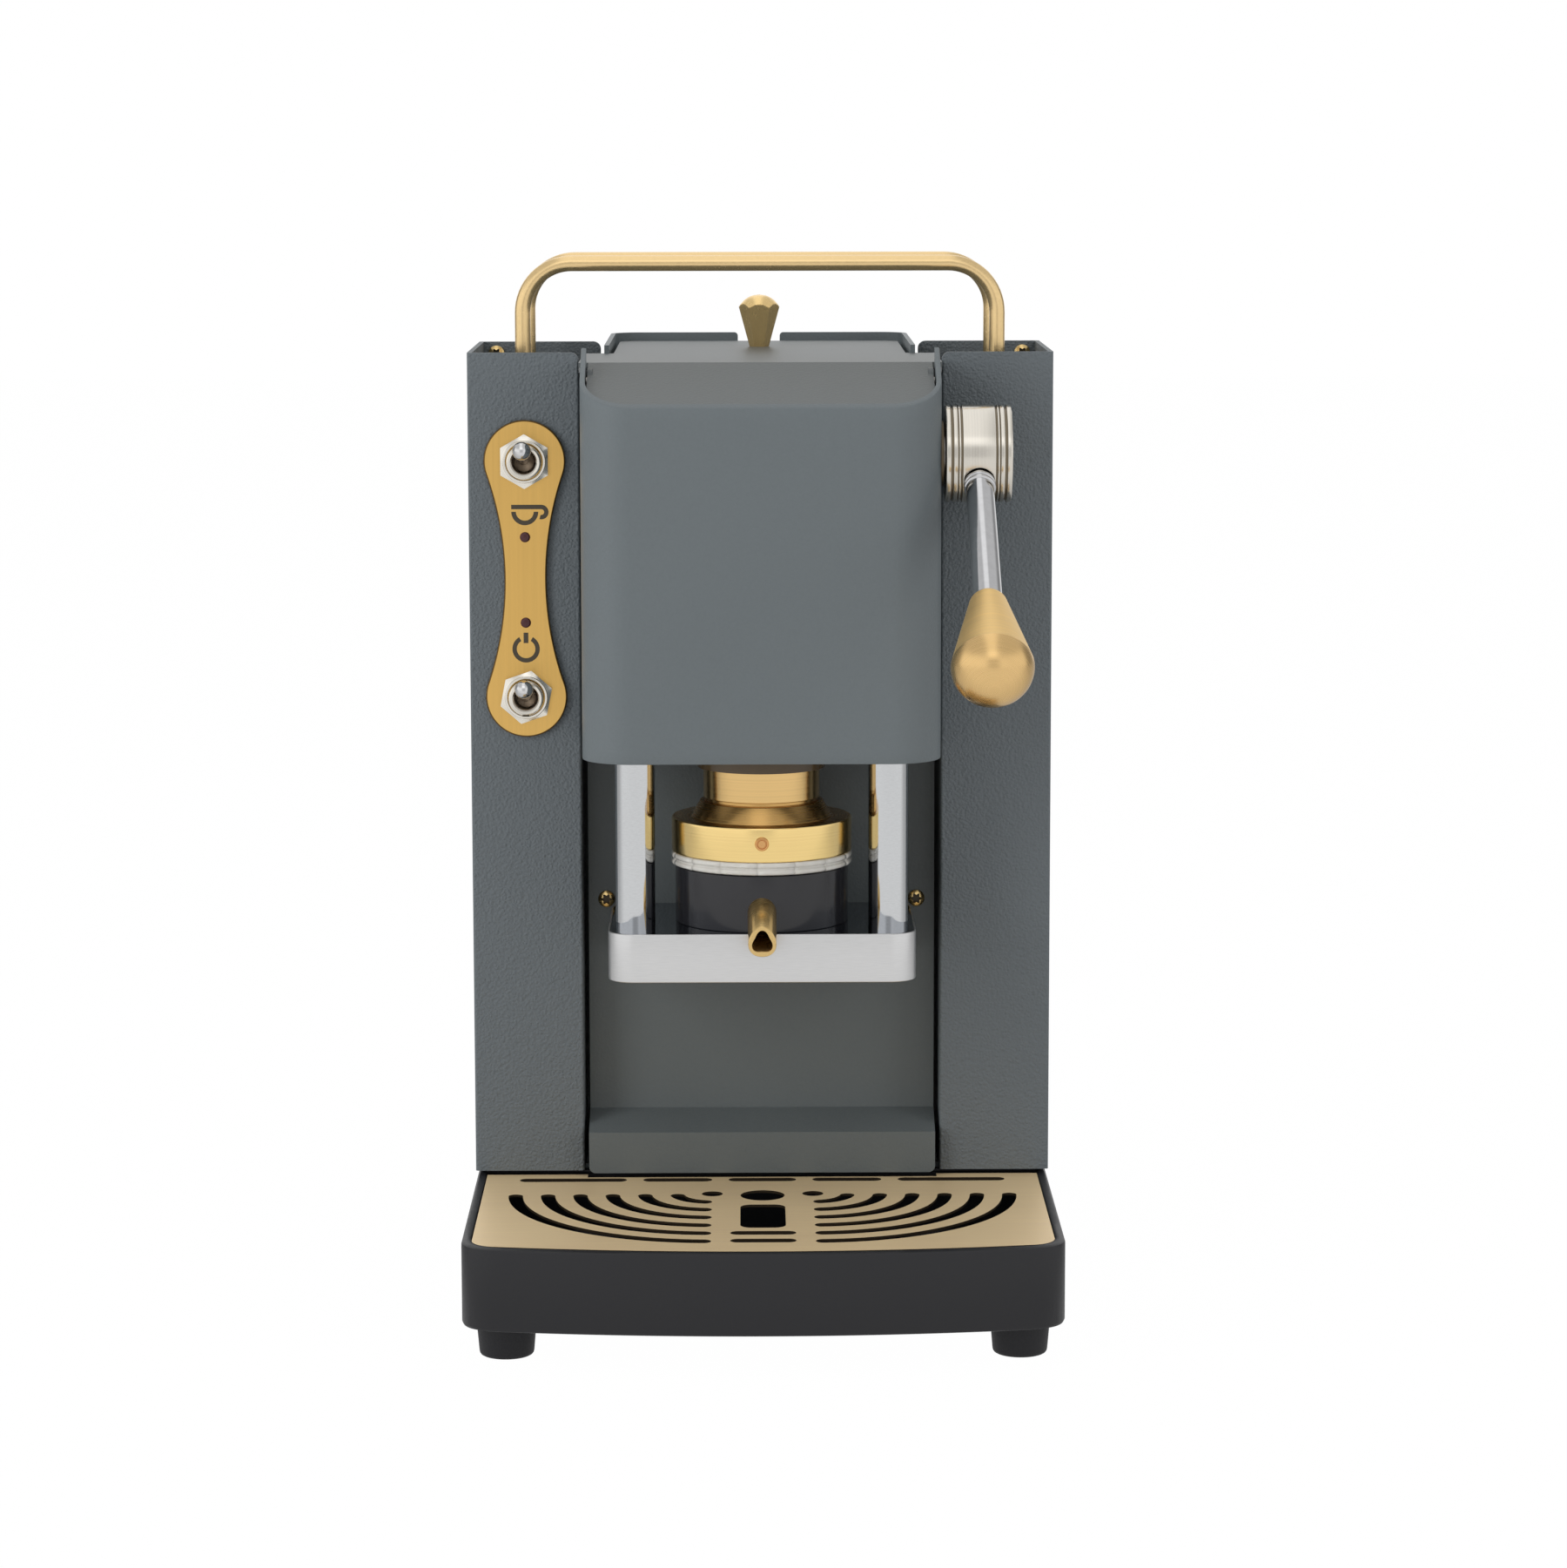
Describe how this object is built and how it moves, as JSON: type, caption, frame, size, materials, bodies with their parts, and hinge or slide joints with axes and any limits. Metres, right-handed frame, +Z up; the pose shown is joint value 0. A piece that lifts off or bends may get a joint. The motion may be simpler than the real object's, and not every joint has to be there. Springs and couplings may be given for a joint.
{
  "type": "lever espresso pod machine",
  "caption": "Narrow countertop espresso machine for paper pods with a side lever that lifts a brass piston, a drip tray and a rear water tank under a hinged lid.",
  "frame": {"origin": "on the table under the middle of the machine's bounding box", "axes": "+Z up, -Y towards the user (front, drip tray), +X to the user's right (lever side)"},
  "size_m": [0.1776, 0.2503, 0.3196],
  "materials": {
    "powder_coat": "fine textured powder coat, satin",
    "brushed_brass": "brushed",
    "screw_brass": "bright turned",
    "nickel": "turned nickel plate",
    "chrome": "polished",
    "polished_steel": "polished",
    "steel": "machined",
    "black_plastic": "fine texture",
    "rubber": "matte",
    "clear_silicone": "clear satin",
    "clear_tank": "clear",
    "red_lens": "gloss",
    "boiler_brass": "machined",
    "pump_body": "moulded",
    "circuit_board": "coated"
  },
  "bodies": {
    "root": {"base_plate": "powder_coat", "boiler": "boiler_brass", "boiler_bracket": "steel", "column_cap_left": "powder_coat", "column_cap_right": "powder_coat", "column_left": "powder_coat", "column_right": "powder_coat", "column_screws": "screw_brass", "control_board": "circuit_board", "feed_hose": "clear_silicone", "feet_front": "rubber", "feet_rear": "rubber", "group_hood": "powder_coat", "guide_collar": "black_plastic", "guide_column_left": "polished_steel", "guide_column_right": "polished_steel", "handle_front": "brushed_brass", "handle_rear": "brushed_brass", "indicators": "red_lens", "lower_plate": "polished_steel", "panel_screws": "screw_brass", "plinth": "powder_coat", "pod_holder": "black_plastic", "power_inlet": "black_plastic", "pump": "pump_body", "shaft_bushes": "screw_brass", "splash_panel": "powder_coat", "spout": "brushed_brass", "switch_plate": "brushed_brass", "tank_shelf": "powder_coat", "tank_tower": "powder_coat", "toggle_bodies": "black_plastic", "toggle_nuts": "chrome", "upper_plate": "steel", "water_tank": "clear_tank"},
    "lever": {"lever_hub": "nickel", "lever_rod": "chrome", "lever_knob": "brushed_brass", "lever_shaft": "steel"},
    "piston": {"piston": "brushed_brass", "piston_pin": "brushed_brass", "gasket": "clear_silicone", "shower_screen": "polished_steel"},
    "lid": {"lid": "powder_coat", "lid_pins": "chrome", "lid_knob": "brushed_brass"},
    "tray": {"drip_tray": "black_plastic"},
    "grille": {"drip_grille": "brushed_brass"},
    "toggle_upper": {"toggle_upper": "chrome"},
    "toggle_lower": {"toggle_lower": "chrome"}
  },
  "joints": [
    {"name": "lever_swing", "type": "hinge", "parent": "root", "child": "lever", "pos_m": [0, -0.02477, 0.2617], "axis": [-1, 0, 0], "range_deg": [0, 95]},
    {"name": "piston_lift", "type": "slide", "parent": "root", "child": "piston", "axis": [0, 0, 1], "range_m": [0, 0.00902]},
    {"name": "lid_tip", "type": "hinge", "parent": "root", "child": "lid", "pos_m": [0, -0.02077, 0.2832], "axis": [1, 0, 0], "range_deg": [0, 19]},
    {"name": "tray_slide", "type": "slide", "parent": "root", "child": "tray", "axis": [0, -1, 0], "range_m": [0, 0.1]},
    {"name": "grille_lift", "type": "slide", "parent": "tray", "child": "grille", "axis": [0, 0, 1], "range_m": [0, 0.02]},
    {"name": "toggle_upper_throw", "type": "hinge", "parent": "root", "child": "toggle_upper", "pos_m": [-0.0716, -0.00737, 0.2583], "axis": [1, 0, 0], "range_deg": [0, 30]},
    {"name": "toggle_lower_throw", "type": "hinge", "parent": "root", "child": "toggle_lower", "pos_m": [-0.0716, -0.00737, 0.1864], "axis": [1, 0, 0], "range_deg": [0, 30]}
  ],
  "couplings": [
    {"joint": "piston_lift", "follows": "lever_swing", "m_per_rad": 0.005428}
  ]
}
